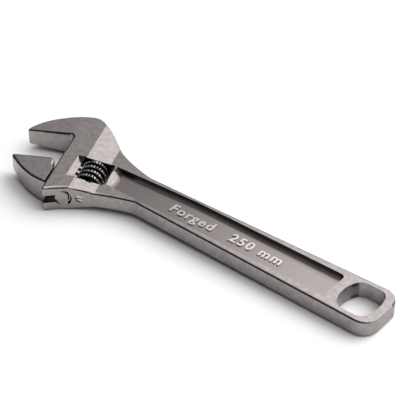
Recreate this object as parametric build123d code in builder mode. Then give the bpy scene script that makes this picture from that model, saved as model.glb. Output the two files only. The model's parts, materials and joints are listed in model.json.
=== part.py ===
from build123d import *
from math import cos, sin, pi, radians
import os

# Adjustable wrench, 250 mm class.  Millimetres, +Z up, lying flat.
# +X runs along the handle to its hanging hole, +Y is the fixed jaw's side.

# ---- driving dimensions ----
total_length = 257.4        # jaw tip to handle end
head_thickness = 16.0
handle_thickness = 10.2
head_angle = 22.5           # jaws turned from the handle's axis
axis_y = 1.65               # handle's centre line, so that the outline is centred on the origin
head_offset = 0.4           # the head's frame sits this far to the near side of the handle's axis

handle_half_width_neck = 12.0   # at neck_x
handle_half_width_end = 15.7    # at the far end
neck_x = -19.3
end_corner_radius = 9.5
edge_round = 1.5

jaw_depth = 30.4            # fixed jaw's tip ahead of the head's front face
movable_jaw_short = 0.6     # the movable jaw's tip stops this much sooner
jaw_tip_thickness = 10.7
jaw_tip_bulge = 0.44        # the rounded tip's back stands out past its inner corner
jaw_corner = 0.8            # inner corner of a jaw's tip
jaw_back_corner = 1.5
fixed_jaw_s = 14.3          # inner face of the fixed jaw, along the slide
jaw_opening = 24.4          # gap between the jaws as modelled
jaw_front_gap = 0.3         # movable jaw to the head's front face
lip_s = -41.6               # lower corner of the head's front face
heel_s = -34.0              # lower corner of the movable jaw
root_radius = 3.5

band_width = 14.5           # raised flat band behind the front face
band_step = 0.6
band_front = 1.5            # the jaws begin to thin this far ahead of the front face
ramp_width = 15.0           # slope from the band down to the handle's thickness

bore_d = -11.6              # axis of the channel for the jaw's shank
bore_radius = 4.8
bore_end_s = 20.0
slot_height = 5.0
slot_end_s = 7.0

window_s = (-24.9, -5.2)    # opening for the worm, along the slide
window_d = (-32.5, -12.6)
window_corner = 1.5
window_lead_d = -9.5        # the front wall leans back from here
window_lip = 5.1            # to this height above and below the middle
worm_d = -20.5              # worm axis
worm_radius = 8.0
worm_length = 17.0
worm_end_play = 0.3
thread_lead = 4.3
thread_crest_s = -13.9      # one crest where it faces the rack
thread_depth = 2.5
thread_crest = 1.7
thread_base = 2.8
thread_sunk = 0.4           # the thread starts this far inside the core
mesh_clearance = 0.22

pin_radius = 1.9
pin_head_radius = 2.3
pin_head_length = 5.0
pin_reach = 6.0             # into the blind hole past the window
pin_head_s = -34.2
pin_play = 0.02
running_clearance = 0.05
screw_slot = (0.8, 1.0)     # width, depth

spring_wire = 0.7
spring_mean_radius = 2.45
spring_pocket = 4.5         # depth of the pocket in the worm
spring_pocket_room = 0.4    # around the coils
spring_coils = 5
spring_play = 0.05

shank_s = (-37.0, -8.0)
web_play = 0.3
web_s = (-33.0, -20.0)

recess_half_width = 10.0    # at the rim
recess_depth = 3.0
recess_end_x = 96.7
recess_wall_angle = 25.0
recess_corner = 2.5
recess_start_x = -61.3      # narrows towards the worm's window
recess_start_y = (-9.4, 7.0)
recess_full_x = -4.3
ramp_cone_d = -19.0         # slope between the window and the recess floor, part of a cone
ramp_cone_radius = 19.0
ramp_cone_top = 13.4

hole_x = (102.0, 124.3)     # hanging hole
hole_straight_x = (106.4, 121.0)
hole_half_width = 12.0
hole_corner = 6.0

beyond = 60.0               # reach of a cut that only has to leave the part

# ---- frames and derived sizes ----
angle = radians(head_angle)
mid_z = head_thickness / 2
rim = handle_thickness / 2
end_x = total_length / 2
jaw_drop = fixed_jaw_s * sin(angle)
front_x = -end_x + jaw_tip_bulge + jaw_depth * cos(angle) + jaw_drop
slope = (handle_half_width_end - handle_half_width_neck) / (end_x - neck_x)
window_length = window_s[1] - window_s[0]
shank_radius = bore_radius - running_clearance

handle_plane = Plane(origin=(0, axis_y, mid_z))
# local x runs along the slide towards the fixed jaw (s), local y out along the jaws (d)
head_origin = (front_x, axis_y - head_offset, mid_z)
head_plane = Plane(origin=head_origin, x_dir=(-sin(angle), cos(angle), 0), z_dir=(0, 0, 1))


def head_point(s, d):
    """A point of the head frame in handle coordinates."""
    return (front_x - d * cos(angle) - s * sin(angle), s * cos(angle) - d * sin(angle) - head_offset)


def half_width(x):
    return handle_half_width_neck + slope * (x - neck_x)


def section_at(s):
    """Plane across the slide: local x out along the jaws (d), local y up, normal to the fixed jaw."""
    origin = head_plane.from_local_coords((s, 0, 0))
    return Plane(origin=origin, x_dir=head_plane.y_dir, z_dir=head_plane.x_dir)


def thickness_profile():
    """Upper edge of the wrench seen along the slide, mirrored to a closed section."""
    fall = (mid_z - jaw_tip_thickness / 2) / (jaw_depth - band_front)
    past_tip = jaw_depth + 5
    upper = [
        (past_tip, mid_z - fall * (past_tip - band_front)),
        (band_front, mid_z),
        (-band_width, mid_z),
        (-band_width - ramp_width, rim),
        (-total_length, rim),
    ]
    lower = [(d, -z) for d, z in reversed(upper)]
    return upper + lower


def corner(sketch, point):
    """The sketch's vertex nearest to a point."""
    return sketch.vertices().sort_by_distance((*point, 0))[0]


def rim_edges(part):
    """Edges between the upright sides and the faces above and below."""
    sides = part.faces().filter_by(lambda face: abs(face.normal_at().Z) < 0.01)
    sides = sides.filter_by(lambda face: abs(face.normal_at().dot(head_plane.y_dir)) < 0.99)
    return sides.edges().filter_by(Axis.Z, reverse=True)


os.makedirs("parts", exist_ok=True)

# ---- body: fixed jaw, head and handle in one forging ----
with BuildPart() as body:
    with BuildSketch(handle_plane) as outline:
        with BuildLine():
            inner_root = head_point(fixed_jaw_s, 0)
            tip = head_point(fixed_jaw_s, jaw_depth)
            tip_back = head_point(fixed_jaw_s + 2.6, jaw_depth - 0.6)
            crown = head_point(34.2, -4)
            shoulder = head_point(29.6, -14.2)
            far_edge = (-39.3, half_width(-39.3))
            near_edge = (-32.3, -half_width(-32.3))
            lip = head_point(lip_s, 0)
            Polyline(lip, inner_root, tip, tip_back)
            Spline(tip_back, head_point(25.7, 21.5), head_point(32, 7), crown)
            ThreePointArc(crown, head_point(33.2, -10), shoulder)
            Spline(shoulder, head_point(20, -23.3), head_point(9.6, -31), (-56.3, 15.2), far_edge)
            Line(far_edge, near_edge)
            Spline(near_edge, (-43.3, -15.3), (-56.4, -21.3), head_point(-36.2, -13), lip)
        make_face()
        with BuildLine():
            start_x = far_edge[0] - 5
            Polyline(
                (start_x, -half_width(start_x)),
                (end_x, -half_width(end_x)),
                (end_x, half_width(end_x)),
                (start_x, half_width(start_x)),
                close=True,
            )
        make_face()
        fillet(outline.vertices().group_by(Axis.X)[-1], end_corner_radius)
        fillet(corner(outline, inner_root), root_radius)
        fillet(corner(outline, tip), jaw_corner)
        fillet(corner(outline, tip_back), jaw_back_corner)
        fillet(corner(outline, lip), jaw_back_corner)
    extrude(amount=mid_z, both=True)
    with BuildSketch(section_at(lip_s - beyond)):
        with BuildLine():
            Polyline(*thickness_profile(), close=True)
        make_face()
    extrude(amount=3 * beyond, mode=Mode.INTERSECT)

    fillet(rim_edges(body), edge_round)

    # the slope behind the band starts a small step lower
    with BuildSketch(section_at(-beyond)):
        for side in (1, -1):
            with BuildLine():
                Polyline(
                    (-band_width, side * (mid_z + 1)),
                    (-band_width, side * (mid_z - band_step)),
                    (-band_width - ramp_width, side * rim),
                    (-band_width - ramp_width, side * (mid_z + 1)),
                    close=True,
                )
            make_face()
    extrude(amount=2 * beyond, mode=Mode.SUBTRACT)

    # recessed panels of the handle, above and below
    for side in (1, -1):
        rim_plane = Plane(origin=(0, axis_y, mid_z + side * rim), x_dir=(1, 0, 0), z_dir=(0, 0, side))
        with BuildSketch(rim_plane) as panel:
            with BuildLine():
                Polyline(
                    (recess_start_x, side * recess_start_y[0]),
                    (recess_end_x, -side * recess_half_width),
                    (recess_end_x, side * recess_half_width),
                    (recess_full_x, side * recess_half_width),
                    (recess_start_x, side * recess_start_y[1]),
                    close=True,
                )
            make_face()
            fillet(panel.vertices().group_by(Axis.X)[-1], recess_corner)
        extrude(amount=-recess_depth, taper=recess_wall_angle, mode=Mode.SUBTRACT)

    # slope from the worm's window down to the panels
    cone_centre = head_plane.from_local_coords((sum(window_s) / 2, ramp_cone_d, 0))
    with BuildSketch(Plane(origin=cone_centre, x_dir=(1, 0, 0), z_dir=(0, -1, 0))):
        with BuildLine():
            floor = rim - recess_depth
            Polyline(
                (0, -rim),
                (ramp_cone_top, -rim),
                (ramp_cone_radius, -floor),
                (ramp_cone_radius, floor),
                (ramp_cone_top, rim),
                (0, rim),
                close=True,
            )
        make_face()
    revolve(axis=Axis(cone_centre, (0, 0, 1)))

    # hanging hole
    with BuildSketch(handle_plane) as hang_hole:
        with BuildLine():
            near_left = (hole_straight_x[0], -hole_half_width)
            far_left = (hole_straight_x[0], hole_half_width)
            near_right = (hole_straight_x[1], -hole_half_width)
            far_right = (hole_straight_x[1], hole_half_width)
            ThreePointArc(near_left, (hole_x[0], 0), far_left)
            Line(far_left, far_right)
            ThreePointArc(far_right, (hole_x[1], 0), near_right)
            Line(near_right, near_left)
        make_face()
        fillet(hang_hole.vertices(), hole_corner)
    extrude(amount=mid_z, both=True, mode=Mode.SUBTRACT)

    # window for the worm, its front wall leaning back above and below the jaw's channel
    with BuildSketch(head_plane):
        with Locations((sum(window_s) / 2, sum(window_d) / 2)):
            RectangleRounded(window_length, window_d[1] - window_d[0], window_corner)
    extrude(amount=head_thickness, both=True, mode=Mode.SUBTRACT)
    with BuildSketch(section_at(window_s[1])):
        for side in (1, -1):
            with BuildLine():
                Polyline(
                    (window_d[1] - window_corner, side * (mid_z + 1)),
                    (window_lead_d, side * (mid_z + 1)),
                    (window_lead_d, side * mid_z),
                    (window_d[1], side * window_lip),
                    (window_d[1] - window_corner, side * window_lip),
                    close=True,
                )
            make_face()
    extrude(amount=-window_length, mode=Mode.SUBTRACT)

    # keyhole channel for the jaw's shank and web
    with BuildSketch(section_at(bore_end_s)):
        with Locations((bore_d, 0)):
            Circle(bore_radius)
    extrude(amount=-2 * beyond, mode=Mode.SUBTRACT)
    with BuildSketch(section_at(slot_end_s)):
        with Locations((bore_d, 0)):
            Rectangle(-bore_d + 1, slot_height, align=(Align.MIN, Align.CENTER))
    extrude(amount=-2 * beyond, mode=Mode.SUBTRACT)

    # hole for the worm's pin
    with BuildSketch(section_at(window_s[1] + pin_reach)):
        with Locations((worm_d, 0)):
            Circle(pin_radius)
    extrude(amount=-beyond, mode=Mode.SUBTRACT)
    with BuildSketch(section_at(pin_head_s + pin_head_length)):
        with Locations((worm_d, 0)):
            Circle(pin_head_radius)
    extrude(amount=-beyond, mode=Mode.SUBTRACT)

body.part.label = "body"
export_step(body.part, "parts/body.step")

# ---- movable jaw: jaw, web and toothed shank ----
jaw_s = fixed_jaw_s - jaw_opening
tooth_tip_d = worm_d + worm_radius - thread_depth + mesh_clearance
tooth_root_d = worm_d + worm_radius + mesh_clearance
lead_angle = 180 / pi * thread_lead / (2 * pi * (worm_radius - thread_depth / 2))
shank_length = shank_s[1] - shank_s[0]

with BuildPart() as movable_jaw:
    with BuildSketch(head_plane) as jaw_outline:
        with BuildLine():
            jaw_reach = jaw_depth - movable_jaw_short
            inner_back = (jaw_s - 8.6, jaw_front_gap)
            inner_top = (jaw_s, jaw_front_gap + 6.2)
            jaw_tip = (jaw_s, jaw_reach)
            jaw_tip_back = (jaw_s - 2.6, jaw_reach - 0.7)
            heel = (heel_s, jaw_front_gap)
            Line(heel, inner_back)
            Spline(inner_back, (jaw_s - 1.6, jaw_front_gap + 2.6), inner_top, tangents=((1, 1), (0, 1)))
            Polyline(inner_top, jaw_tip, jaw_tip_back)
            Spline(jaw_tip_back, (-19.4, 23), (-27, 14.3), heel)
        make_face()
        fillet(corner(jaw_outline, jaw_tip), jaw_corner)
        fillet(corner(jaw_outline, jaw_tip_back), jaw_back_corner)
    extrude(amount=mid_z, both=True)
    with BuildSketch(section_at(-beyond)):
        with BuildLine():
            Polyline(*thickness_profile(), close=True)
        make_face()
    extrude(amount=2 * beyond, mode=Mode.INTERSECT)
    fillet(rim_edges(movable_jaw), edge_round)

    # web into the head's slot, and the round shank with one side cut flat
    with BuildSketch(section_at(web_s[0])):
        with Locations((bore_d, 0)):
            Rectangle(-bore_d + jaw_front_gap + 1, slot_height - web_play, align=(Align.MIN, Align.CENTER))
    extrude(amount=web_s[1] - web_s[0])
    with BuildSketch(section_at(shank_s[0])):
        with Locations((bore_d, 0)):
            Circle(shank_radius)
    extrude(amount=shank_length)
    with BuildSketch(section_at(shank_s[0])):
        with Locations((tooth_tip_d, 0)):
            Rectangle(bore_radius, 2 * bore_radius, align=(Align.MAX, Align.CENTER))
    extrude(amount=shank_length, mode=Mode.SUBTRACT)

    # slanted grooves that the worm's thread runs in
    groove_top = thread_base / 2 + mesh_clearance
    groove_floor = thread_crest / 2 + mesh_clearance
    first = round((shank_s[0] - thread_crest_s) / thread_lead) - 1
    last = round((shank_s[1] - thread_crest_s) / thread_lead) + 1
    for index in range(first, last + 1):
        groove_origin = head_plane.from_local_coords((thread_crest_s + index * thread_lead, 0, 0))
        groove_plane = Plane(origin=groove_origin, x_dir=head_plane.x_dir, z_dir=(0, 0, 1))
        with BuildSketch(groove_plane.rotated((0, -lead_angle, 0))):
            with BuildLine():
                Polyline(
                    (-groove_top, tooth_tip_d),
                    (-groove_floor, tooth_root_d),
                    (groove_floor, tooth_root_d),
                    (groove_top, tooth_tip_d),
                    (groove_top, tooth_tip_d - 1),
                    (-groove_top, tooth_tip_d - 1),
                    close=True,
                )
            make_face()
        extrude(amount=2 * bore_radius, both=True, mode=Mode.SUBTRACT)

movable_jaw.part.label = "movable_jaw"
export_step(movable_jaw.part, "parts/movable_jaw.step")

# ---- worm: the adjusting screw that the thumb turns ----
worm_s = (window_s[0] + worm_end_play, window_s[0] + worm_end_play + worm_length)
worm_root = worm_radius - thread_depth
turns_before = round((thread_crest_s - worm_s[0]) / thread_lead) + 1

with BuildPart() as worm_thread:
    # the helix starts on the side away from the rack, half a turn before a crest there
    start_s = thread_crest_s - (turns_before + 0.5) * thread_lead
    thread_start = head_plane.from_local_coords((start_s, worm_d, 0))
    with BuildLine() as thread_path:
        thread_height = worm_length + 3 * thread_lead
        Helix(thread_lead, thread_height, worm_root, center=thread_start, direction=head_plane.x_dir)
    with BuildSketch(Plane(origin=thread_start, x_dir=-head_plane.y_dir, z_dir=(0, 0, 1))):
        with BuildLine():
            flank = (thread_base - thread_crest) / 2 / thread_depth
            sunk_half = thread_base / 2 + flank * thread_sunk
            Polyline(
                (worm_root - thread_sunk, -sunk_half),
                (worm_radius, -thread_crest / 2),
                (worm_radius, thread_crest / 2),
                (worm_root - thread_sunk, sunk_half),
                close=True,
            )
        make_face()
    sweep(path=thread_path.line, is_frenet=True)
    with BuildSketch(section_at(worm_s[0])):
        with Locations((worm_d, 0)):
            Circle(worm_radius + 1)
    extrude(amount=worm_length, mode=Mode.INTERSECT)

with BuildPart() as worm:
    with BuildSketch(section_at(worm_s[0])):
        with Locations((worm_d, 0)):
            Circle(worm_root)
    extrude(amount=worm_length)
    add(worm_thread)
    with BuildSketch(section_at(worm_s[0])):
        with Locations((worm_d, 0)):
            Circle(pin_radius + running_clearance)
    extrude(amount=worm_length, mode=Mode.SUBTRACT)
    with BuildSketch(section_at(worm_s[1])):
        with Locations((worm_d, 0)):
            Circle(spring_mean_radius + spring_wire / 2 + spring_pocket_room)
    extrude(amount=-spring_pocket, mode=Mode.SUBTRACT)

worm.part.label = "worm"
export_step(worm.part, "parts/worm.step")

# ---- worm pin: slotted screw that carries the worm ----
with BuildPart() as worm_pin:
    with BuildSketch(section_at(pin_head_s)):
        with Locations((worm_d, 0)):
            Circle(pin_head_radius - running_clearance)
    extrude(amount=pin_head_length)
    with BuildSketch(section_at(pin_head_s)):
        with Locations((worm_d, 0)):
            Circle(pin_radius - pin_play)
    extrude(amount=window_s[1] + pin_reach - 10 * pin_play - pin_head_s)
    with BuildSketch(section_at(pin_head_s)):
        with Locations((worm_d, 0)):
            Rectangle(2 * pin_head_radius, screw_slot[0])
    extrude(amount=screw_slot[1], mode=Mode.SUBTRACT)

worm_pin.part.label = "worm_pin"
export_step(worm_pin.part, "parts/worm_pin.step")

# ---- worm spring: takes up the worm's end play ----
spring_s = (worm_s[1] - spring_pocket + spring_play, window_s[1] - spring_play)
spring_height = spring_s[1] - spring_s[0] - spring_wire

with BuildPart() as worm_spring:
    spring_start = head_plane.from_local_coords((spring_s[0] + spring_wire / 2, worm_d, 0))
    with BuildLine() as coil_path:
        pitch = spring_height / spring_coils
        Helix(pitch, spring_height, spring_mean_radius, center=spring_start, direction=head_plane.x_dir)
    with BuildSketch(Plane(origin=spring_start, x_dir=-head_plane.y_dir, z_dir=(0, 0, 1))):
        with Locations((spring_mean_radius, 0)):
            Circle(spring_wire / 2)
    sweep(path=coil_path.line, is_frenet=True)

worm_spring.part.label = "worm_spring"
export_step(worm_spring.part, "parts/worm_spring.step")
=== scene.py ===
"""Looks of the adjustable wrench: satin plated steel, a knurled dark worm, raised lettering, pale studio."""
import json
import math

import bpy
from mathutils import Matrix, Vector


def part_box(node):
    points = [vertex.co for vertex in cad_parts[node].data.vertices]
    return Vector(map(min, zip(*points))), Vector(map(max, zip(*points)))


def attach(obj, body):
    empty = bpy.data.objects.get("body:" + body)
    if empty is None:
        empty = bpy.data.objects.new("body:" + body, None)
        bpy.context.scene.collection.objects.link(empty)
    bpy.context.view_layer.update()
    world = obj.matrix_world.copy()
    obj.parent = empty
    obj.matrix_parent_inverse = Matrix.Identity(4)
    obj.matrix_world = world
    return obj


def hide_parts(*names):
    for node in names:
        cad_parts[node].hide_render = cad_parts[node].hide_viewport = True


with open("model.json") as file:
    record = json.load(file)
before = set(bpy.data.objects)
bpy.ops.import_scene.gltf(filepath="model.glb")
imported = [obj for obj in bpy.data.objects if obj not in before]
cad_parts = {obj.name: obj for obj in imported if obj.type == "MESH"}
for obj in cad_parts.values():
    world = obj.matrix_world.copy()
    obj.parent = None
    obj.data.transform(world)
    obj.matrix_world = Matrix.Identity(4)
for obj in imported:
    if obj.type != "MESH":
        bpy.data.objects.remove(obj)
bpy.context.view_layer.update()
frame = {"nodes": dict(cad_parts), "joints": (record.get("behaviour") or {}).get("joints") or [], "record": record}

MM = 0.001

# ---- places and directions that the frame gives ----
joints = {joint["name"]: joint for joint in frame["joints"]}
worm_joint = joints["worm_spin"]
slide = Vector(worm_joint["axis"]).normalized()
worm_middle = Vector(worm_joint["pos_m"])
up = Vector((0, 0, 1))
jaw_dir = slide.cross(up) * -1.0
body_low, body_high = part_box("body")
mid_z = (body_low.z + body_high.z) / 2


# ---- node graphs ----
class Graph:
    """A node tree with short ways to add the nodes that this scene needs."""

    def __init__(self, tree):
        self.nodes = tree.nodes
        self.links = tree.links

    def place(self):
        """The point on the surface, in the object's own metres."""
        return self.nodes.new("ShaderNodeTexCoord").outputs["Object"]

    def feed(self, socket, value):
        """Give a socket a number or link it to another socket."""
        if isinstance(value, (int, float)):
            socket.default_value = value
        else:
            self.links.new(value, socket)

    def noise(self, place, scale, detail=3.0, roughness=0.55):
        """Noise with so many features per metre."""
        texture = self.nodes.new("ShaderNodeTexNoise")
        texture.inputs["Scale"].default_value = scale
        texture.inputs["Detail"].default_value = detail
        texture.inputs["Roughness"].default_value = roughness
        self.links.new(place, texture.inputs["Vector"])
        return texture.outputs["Fac"]

    def ramp(self, value, start, to, smooth=False):
        """Turn the value's range start into the range to, flat beyond both ends."""
        node = self.nodes.new("ShaderNodeMapRange")
        node.interpolation_type = "SMOOTHSTEP" if smooth else "LINEAR"
        node.inputs["From Min"].default_value = start[0]
        node.inputs["From Max"].default_value = start[1]
        node.inputs["To Min"].default_value = to[0]
        node.inputs["To Max"].default_value = to[1]
        self.links.new(value, node.inputs["Value"])
        return node.outputs["Result"]

    def mask(self, value, outside, inside):
        """0 at outside, 1 at inside, with a smooth passage between them."""
        return self.ramp(value, (outside, inside), (0, 1), True)

    def math(self, operation, first, second=0):
        node = self.nodes.new("ShaderNodeMath")
        node.operation = operation
        self.feed(node.inputs[0], first)
        self.feed(node.inputs[1], second)
        return node.outputs[0]

    def product(self, *factors):
        result = factors[0]
        for factor in factors[1:]:
            result = self.math("MULTIPLY", result, factor)
        return result

    def vector(self, operation, first, fixed=None):
        """A vector operation on a socket and a fixed vector; returns the node."""
        node = self.nodes.new("ShaderNodeVectorMath")
        node.operation = operation
        self.links.new(first, node.inputs[0])
        if fixed is not None:
            node.inputs[1].default_value = fixed
        return node

    def mix_colour(self, factor, first, second):
        """Mix two colours (tuples or sockets)."""
        node = self.nodes.new("ShaderNodeMix")
        node.data_type = "RGBA"
        self.links.new(factor, node.inputs["Factor"])
        for name, value in (("A", first), ("B", second)):
            socket = [s for s in node.inputs if s.name == name and s.type == "RGBA"][0]
            if isinstance(value, tuple):
                socket.default_value = (*value, 1)
            else:
                self.links.new(value, socket)
        return [s for s in node.outputs if s.type == "RGBA"][0]

    def mix_value(self, factor, first, second):
        node = self.nodes.new("ShaderNodeMix")
        self.links.new(factor, node.inputs["Factor"])
        self.links.new(first, node.inputs[2])
        self.links.new(second, node.inputs[3])
        return node.outputs[0]

    def bump(self, height, strength, distance):
        node = self.nodes.new("ShaderNodeBump")
        node.inputs["Strength"].default_value = strength
        node.inputs["Distance"].default_value = distance
        self.links.new(height, node.inputs["Height"])
        return node.outputs["Normal"]

    def finish_with(self, colour, roughness, normal):
        """Link what the surface looks like to the material's shader."""
        shader = self.nodes["Principled BSDF"]
        self.links.new(colour, shader.inputs["Base Color"])
        self.links.new(roughness, shader.inputs["Roughness"])
        self.links.new(normal, shader.inputs["Normal"])


def new_material(name, metallic, roughness, colour):
    """A Principled material with its constant values, and its graph."""
    material = bpy.data.materials.new(name)
    material.use_nodes = True
    graph = Graph(material.node_tree)
    shader = graph.nodes["Principled BSDF"]
    shader.inputs["Metallic"].default_value = metallic
    shader.inputs["Roughness"].default_value = roughness
    shader.inputs["Base Color"].default_value = (*colour, 1)
    return material, graph


# ---- plated steel of the body and the jaw ----
HANDLE_AXIS_Y = 1.65 * MM
PANEL_HALF_WIDTH = 9.9 * MM
PANEL_START_X = -60 * MM
PANEL_FADE_X = 3 * MM
PANEL_LEVEL = 2.9 * MM          # panels lie nearer to the middle of the thickness than this
PANEL_FADE = 0.3 * MM
WALL_TOP = 5.1 * MM             # the recess's far wall ends at the rim
WALL_START_Y = 6.0 * MM
WALL_END_Y = 10.2 * MM
WALL_FADE = 0.5 * MM
WALL_END_FADE = 0.2 * MM
PLATE_BASE = (0.31, 0.305, 0.30)
PLATE_DARK = (0.265, 0.243, 0.241)
PLATE_LIGHT = (0.345, 0.316, 0.314)
PANEL_DARK = (0.245, 0.225, 0.222)
PANEL_LIGHT = (0.335, 0.307, 0.304)
# painted shade: the colour that darkens the panel floors near the head and in patches along their far side
PANEL_PAINTED_SHADE = (0.15, 0.136, 0.134)
# painted shade: the near-black colour of the recesses' far walls
FAR_WALL_PAINTED_SHADE = (0.08, 0.073, 0.072)
SHADE_FADE_X = (-40 * MM, 78 * MM)      # painted shade on the panel floors thins out from the head to the handle's end
SHADE_AT_HEAD = 0.75
SHADE_FAR_SIDE_Y = 3 * MM
SHADE_PATCHES = (0.4, 0.8)
CLOUD_SCALE = 40
MOTTLE_SCALE = 320
ORANGE_PEEL_SCALE = 260
GRAIN_SCALE = 1100
NOISE_MIDDLE = (0.3, 0.7)       # the range that most of a noise's values lie in
PLATE_ROUGHNESS = (0.15, 0.22)
PANEL_ROUGHNESS = (0.20, 0.28)
PLATE_RELIEF = 0.10
RELIEF_HEIGHT = 0.05 * MM


def satin_steel():
    """Pearl nickel-chrome plating: smooth on the faces, grained in the handle's recesses, with painted shade on
    the recesses' floors and far walls.
    """
    material, graph = new_material("satin_steel", 1.0, 0.2, PLATE_BASE)
    place = graph.place()
    split = graph.nodes.new("ShaderNodeSeparateXYZ")
    graph.links.new(place, split.inputs[0])
    along = split.outputs["X"]
    height = graph.math("ABSOLUTE", graph.math("SUBTRACT", split.outputs["Z"], mid_z))
    sideways = graph.math("SUBTRACT", split.outputs["Y"], HANDLE_AXIS_Y)
    across = graph.math("ABSOLUTE", sideways)

    # where the panels' floors and the recesses' far walls are
    behind_head = graph.mask(along, PANEL_START_X, PANEL_START_X + PANEL_FADE_X)
    low = graph.mask(height, PANEL_LEVEL + PANEL_FADE, PANEL_LEVEL - PANEL_FADE)
    between = graph.mask(across, PANEL_HALF_WIDTH + PANEL_FADE, PANEL_HALF_WIDTH - PANEL_FADE)
    panel = graph.product(low, between, behind_head)
    under_rim = graph.mask(height, WALL_TOP, WALL_TOP - WALL_FADE)
    far_strip = graph.mask(sideways, WALL_START_Y, WALL_START_Y + WALL_FADE)
    inside_rim = graph.mask(across, WALL_END_Y, WALL_END_Y - WALL_END_FADE)
    wall = graph.product(under_rim, far_strip, behind_head, inside_rim)

    cloud = graph.noise(place, CLOUD_SCALE, 4)
    grain = graph.noise(place, GRAIN_SCALE, 4, 0.6)
    orange_peel = graph.noise(place, ORANGE_PEEL_SCALE, 2)
    mottle = graph.ramp(graph.noise(place, MOTTLE_SCALE, 4, 0.65), (0.35, 0.65), (0, 1))

    # painted shade on the panel floors: darker towards the head and in cloudy patches along the far side, next to
    # the far wall
    near_head = graph.ramp(along, SHADE_FADE_X, (SHADE_AT_HEAD, 0))
    far_side = graph.mask(sideways, SHADE_FAR_SIDE_Y, PANEL_HALF_WIDTH)
    patches = graph.product(far_side, graph.ramp(cloud, (0.35, 0.6), SHADE_PATCHES))
    painted_shade = graph.math("MAXIMUM", near_head, patches)
    panel_colour = graph.mix_colour(painted_shade, graph.mix_colour(grain, PANEL_DARK, PANEL_LIGHT), PANEL_PAINTED_SHADE)
    # painted shade: the recesses' far walls get a near-black colour
    plate_colour = graph.mix_colour(wall, graph.mix_colour(mottle, PLATE_DARK, PLATE_LIGHT), FAR_WALL_PAINTED_SHADE)

    plate_roughness = graph.ramp(cloud, NOISE_MIDDLE, PLATE_ROUGHNESS)
    panel_roughness = graph.ramp(grain, NOISE_MIDDLE, PANEL_ROUGHNESS)
    relief = graph.math("ADD", orange_peel, graph.product(grain, panel))
    graph.finish_with(
        graph.mix_colour(panel, plate_colour, panel_colour),
        graph.mix_value(panel, plate_roughness, panel_roughness),
        graph.bump(relief, PLATE_RELIEF, RELIEF_HEIGHT),
    )
    return material


# ---- black oxide of the worm ----
OXIDE_BASE = (0.05, 0.05, 0.05)
OXIDE_BLACK = (0.035, 0.034, 0.035)
WORN_STEEL = (0.50, 0.49, 0.48)
WEAR_RADIUS = (7.7 * MM, 7.97 * MM)     # crests are rubbed bright from here outwards
WEAR_PATCHES = (0.12, 1.0)
PATCH_SCALE = 330
SPECKLE_SCALE = 1500
OXIDE_ROUGHNESS = (0.28, 0.42)
OXIDE_RELIEF = 0.15


def dark_worm_steel():
    """Black oxide with the crests rubbed bright: the distance from the worm's axis tells crest from root."""
    material, graph = new_material("dark_worm", 1.0, 0.3, OXIDE_BASE)
    place = graph.place()
    offset = graph.vector("SUBTRACT", place, worm_middle)
    arm = graph.vector("CROSS_PRODUCT", offset.outputs[0], slide)
    radius = graph.vector("LENGTH", arm.outputs[0]).outputs["Value"]
    speckle = graph.noise(place, SPECKLE_SCALE, 3, 0.6)
    patches = graph.noise(place, PATCH_SCALE, 2)
    uneven = graph.ramp(patches, (0.38, 0.58), WEAR_PATCHES, True)
    worn = graph.product(graph.mask(radius, *WEAR_RADIUS), uneven)
    graph.finish_with(
        graph.mix_colour(worn, OXIDE_BLACK, WORN_STEEL),
        graph.ramp(speckle, NOISE_MIDDLE, OXIDE_ROUGHNESS),
        graph.bump(speckle, OXIDE_RELIEF, RELIEF_HEIGHT),
    )
    return material


# ---- other steel ----
PIN_COLOUR = (0.62, 0.61, 0.60)
SPRING_COLOUR = (0.42, 0.42, 0.43)
LETTER_COLOUR = (0.58, 0.54, 0.53)
DRAWN_GRAIN_SCALE = 1200
DRAWN_DARKER = 0.86
ROUGHNESS_SPREAD = 0.15
DRAWN_RELIEF = 0.1
DRAWN_RELIEF_HEIGHT = 0.03 * MM


def plain_steel(name, colour, roughness):
    """Machined or drawn steel with a fine uneven sheen."""
    material, graph = new_material(name, 1.0, roughness, colour)
    grain = graph.noise(graph.place(), DRAWN_GRAIN_SCALE, 3)
    darker = tuple(part * DRAWN_DARKER for part in colour)
    spread = (roughness * (1 - ROUGHNESS_SPREAD), roughness * (1 + ROUGHNESS_SPREAD))
    graph.finish_with(
        graph.mix_colour(grain, darker, colour),
        graph.ramp(grain, NOISE_MIDDLE, spread),
        graph.bump(grain, DRAWN_RELIEF, DRAWN_RELIEF_HEIGHT),
    )
    return material


def dress(node_name, material):
    """Give a CAD node its material."""
    mesh = frame["nodes"][node_name].data
    mesh.materials.clear()
    mesh.materials.append(material)


steel = satin_steel()
worm_material = dark_worm_steel()
letter_material = plain_steel("letter_steel", LETTER_COLOUR, 0.16)
dress("body", steel)
dress("movable_jaw", steel)
dress("worm", worm_material)
dress("worm_pin", plain_steel("bright_pin", PIN_COLOUR, 0.25))
dress("worm_spring", plain_steel("spring_steel", SPRING_COLOUR, 0.3))


# ---- worm with its knurled thread ----
WORM_RADIUS = 8.0 * MM
WORM_ROOT = 5.5 * MM
WORM_LENGTH = 17.0 * MM
WORM_BORE = 1.95 * MM
WORM_POCKET_RADIUS = 3.2 * MM
WORM_POCKET_DEPTH = 4.5 * MM
CREST_PAST_MIDDLE = 2.2 * MM
CREST_HALF = 0.85 * MM
BASE_HALF = 1.4 * MM
NOTCHES = 28
NOTCH_DEPTH = 0.55 * MM
NOTCH_START = 0.45              # share of the notch's wave where the crest starts to fall
NOTCH_PASSAGE = 0.4
SHOULDER_DEPTH = 0.10 * MM      # a crest's rubbed corners
SHOULDER_SHARE = 0.3
BORE_CHAMFER = 0.3 * MM
SHARP_ANGLE = math.radians(35)
WORM_COLUMNS = 480
WORM_ROWS = 200


def smooth(value):
    value = min(max(value, 0.0), 1.0)
    return value * value * (3 - 2 * value)


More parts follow.
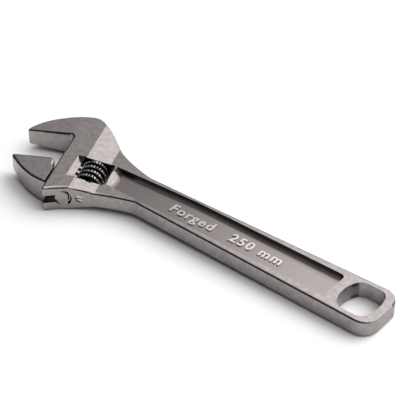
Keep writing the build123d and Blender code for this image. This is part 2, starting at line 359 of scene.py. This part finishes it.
def thread_radius(along, angle, lead):
    """Radius of the worm's surface: angle 0 faces the rack and grows over the top away from it."""
    phase = (along - CREST_PAST_MIDDLE - lead * angle / math.tau) / lead
    distance = abs(phase - round(phase)) * lead
    climb = (BASE_HALF - distance) / (BASE_HALF - CREST_HALF)
    notch_wave = 0.5 - 0.5 * math.cos(angle * NOTCHES)
    crest = WORM_RADIUS - NOTCH_DEPTH * smooth((notch_wave - NOTCH_START) / NOTCH_PASSAGE)
    flank = WORM_ROOT + (WORM_RADIUS - WORM_ROOT) * min(max(climb, 0.0), 1.0)
    shoulder_width = CREST_HALF * SHOULDER_SHARE
    shoulder = SHOULDER_DEPTH * smooth((distance - CREST_HALF + shoulder_width) / shoulder_width)
    return max(min(flank, crest - shoulder), WORM_ROOT)


def worm_rings():
    """Rings of (place along the axis, radius): along the thread outside, then back through the bore."""
    coupling = frame["record"]["behaviour"]["couplings"][0]
    lead = math.tau / abs(coupling["ratio"])
    half = WORM_LENGTH / 2
    angles = [math.tau * column / WORM_COLUMNS for column in range(WORM_COLUMNS)]
    rings = []
    for row in range(WORM_ROWS + 1):
        along = -half + WORM_LENGTH * row / WORM_ROWS
        rings.append([(along, thread_radius(along, angle, lead)) for angle in angles])
    inner = [
        (half, WORM_POCKET_RADIUS + BORE_CHAMFER),
        (half - BORE_CHAMFER, WORM_POCKET_RADIUS),
        (half - WORM_POCKET_DEPTH, WORM_POCKET_RADIUS),
        (half - WORM_POCKET_DEPTH, WORM_BORE),
        (-half + BORE_CHAMFER, WORM_BORE),
        (-half, WORM_BORE + BORE_CHAMFER),
    ]
    return rings + [[place] * WORM_COLUMNS for place in inner]


def make_worm():
    """The adjusting screw as one closed mesh."""
    rings = worm_rings()
    vertices = []
    for ring in rings:
        for column, (along, radius) in enumerate(ring):
            angle = math.tau * column / WORM_COLUMNS
            outward = jaw_dir * math.cos(angle) + up * math.sin(angle)
            vertices.append(worm_middle + slide * along + outward * radius)
    faces = []
    for row in range(len(rings)):
        after = (row + 1) % len(rings)
        for column in range(WORM_COLUMNS):
            side = (column + 1) % WORM_COLUMNS
            corners = ((row, column), (row, side), (after, side), (after, column))
            faces.append([ring * WORM_COLUMNS + place for ring, place in corners])
    mesh = bpy.data.meshes.new("knurled_worm")
    mesh.from_pydata(vertices, [], faces)
    mesh.materials.append(worm_material)
    worm = bpy.data.objects.new("knurled_worm", mesh)
    bpy.context.scene.collection.objects.link(worm)
    for polygon in mesh.polygons:
        polygon.use_smooth = True
    mesh.set_sharp_from_angle(angle=SHARP_ANGLE)
    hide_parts("worm")
    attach(worm, "thumb_screw")


make_worm()

# ---- raised lettering on the panels ----
PANEL_FLOOR = 2.1 * MM
LETTER_RISE = 0.45 * MM
LETTER_SUNK = 0.1 * MM
LETTER_SIZE = 9.2 * MM
UNDER_LETTER_SIZE = 9.0 * MM
LETTER_THICKENING = 0.16 * MM
LETTER_BEVEL = 0.1 * MM
LETTER_SPACING = 1.2


def make_lettering(name, words, letter_size, centre_x, side):
    """Raised letters standing on a panel's floor; side is 1 above and -1 below."""
    data = bpy.data.curves.new(name, "FONT")
    data.body = words
    data.size = letter_size
    data.align_x = "CENTER"
    data.align_y = "CENTER"
    data.extrude = (LETTER_RISE + LETTER_SUNK) / 2
    data.offset = LETTER_THICKENING
    data.bevel_depth = LETTER_BEVEL
    data.bevel_resolution = 2
    data.space_character = LETTER_SPACING
    text = bpy.data.objects.new(name, data)
    bpy.context.scene.collection.objects.link(text)
    height = mid_z + side * (PANEL_FLOOR + (LETTER_RISE - LETTER_SUNK) / 2)
    text.location = (centre_x, HANDLE_AXIS_Y, height)
    text.rotation_euler = (0 if side > 0 else math.pi, 0, 0)
    data.materials.append(letter_material)
    bpy.context.view_layer.update()
    evaluated = text.evaluated_get(bpy.context.evaluated_depsgraph_get())
    mesh = bpy.data.meshes.new_from_object(evaluated)
    piece = bpy.data.objects.new(name, mesh)
    piece.matrix_world = text.matrix_world.copy()
    bpy.context.scene.collection.objects.link(piece)
    bpy.data.objects.remove(text)
    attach(piece, "wrench_body")


make_lettering("letters_forged", "Forged", LETTER_SIZE, 0.5 * MM, 1)
make_lettering("letters_size", "250 mm", LETTER_SIZE, 45 * MM, 1)
make_lettering("letters_under", "ADJUSTABLE 0-30 mm", UNDER_LETTER_SIZE, 22 * MM, -1)

# ---- floor ----
FLOOR_SIZE = 6.0
HANDLE_REST_HEIGHT = 2.9 * MM
HEAD_REST_X = -64 * MM
FLOOR_CLEARANCE = 0.05 * MM
FLOOR_COLOUR = (0.77, 0.77, 0.77)
FLOOR_GLOSS = 0.1


def make_floor():
    """A pale floor that touches the head and the handle's end, so it tilts a little to the row's frame."""
    bpy.ops.mesh.primitive_plane_add(size=FLOOR_SIZE)
    floor = bpy.context.object
    floor.name = "studio_floor"
    tilt = math.atan2(HANDLE_REST_HEIGHT, body_high.x - HEAD_REST_X)
    floor.rotation_euler = (0, -tilt, 0)
    floor.location = (0, 0, -HEAD_REST_X * math.tan(tilt) - FLOOR_CLEARANCE)
    material, graph = new_material("pale_floor", 0.0, 0.9, FLOOR_COLOUR)
    graph.nodes["Principled BSDF"].inputs["Specular IOR Level"].default_value = FLOOR_GLOSS
    floor.data.materials.append(material)


make_floor()

# ---- light ----
SOFTBOX = Vector((0.35, 0.55, 0.76)).normalized()
KEY_DISTANCE = 1.2
KEY_SIZE = 1.1
KEY_POWER = 9.0
ROOM = (0.04, 0.04, 0.041)
WALL = (0.70, 0.69, 0.69)
BRIGHT = (1.98, 1.95, 1.95)
WALL_EDGE = (0.27, 0.43)        # cosines of the angle from the softbox's middle
BRIGHT_EDGE = (0.585, 0.70)


def make_world():
    """A soft studio: a broad bright source overhead, a paler wall round it and a dark room in front."""
    world = bpy.data.worlds.new("studio")
    bpy.context.scene.world = world
    world.use_nodes = True
    graph = Graph(world.node_tree)
    direction = graph.nodes.new("ShaderNodeTexCoord").outputs["Generated"]
    towards = graph.vector("DOT_PRODUCT", direction, SOFTBOX).outputs["Value"]
    wall = graph.mask(towards, *WALL_EDGE)
    glow = graph.mask(towards, *BRIGHT_EDGE)
    colour = graph.mix_colour(glow, graph.mix_colour(wall, ROOM, WALL), BRIGHT)
    graph.links.new(colour, graph.nodes["Background"].inputs["Color"])


def make_key_light():
    """The shadow-casting share of the softbox, hidden from reflections that the world already shows."""
    data = bpy.data.lights.new("key", "AREA")
    data.shape = "DISK"
    data.size = KEY_SIZE
    data.energy = KEY_POWER
    light = bpy.data.objects.new("key", data)
    light.location = SOFTBOX * KEY_DISTANCE
    light.rotation_euler = SOFTBOX.to_track_quat("Z", "Y").to_euler()
    light.visible_glossy = False
    bpy.context.scene.collection.objects.link(light)


make_world()
make_key_light()

# ---- camera ----
AZIMUTH = math.radians(40.10)
ELEVATION = math.radians(37.70)
ROLL = math.radians(-0.93)
AIM = Vector((-15.15, 27.05, 0)) * MM
DISTANCE = 859.3 * MM
SENSOR_MM = 36.0
FOCAL_LENGTH_MM = 135.0
CLIP_END = 20


def make_camera():
    """A long lens that looks from back towards the aim, rolled a little."""
    level = math.cos(ELEVATION)
    back = Vector((math.sin(AZIMUTH) * level, -math.cos(AZIMUTH) * level, math.sin(ELEVATION)))
    right = back.cross(up).normalized() * -1.0
    level_up = back.cross(right)
    rolled_right = right * math.cos(ROLL) + level_up * math.sin(ROLL)
    rolled_up = level_up * math.cos(ROLL) - right * math.sin(ROLL)
    data = bpy.data.cameras.new("camera")
    data.sensor_width = SENSOR_MM
    data.lens = FOCAL_LENGTH_MM
    data.clip_end = CLIP_END
    camera = bpy.data.objects.new("camera", data)
    turn = Matrix((rolled_right, rolled_up, back)).transposed().to_4x4()
    camera.matrix_world = Matrix.Translation(AIM + back * DISTANCE) @ turn
    bpy.context.scene.collection.objects.link(camera)
    bpy.context.scene.camera = camera


make_camera()
bpy.context.scene.view_settings.view_transform = "Standard"
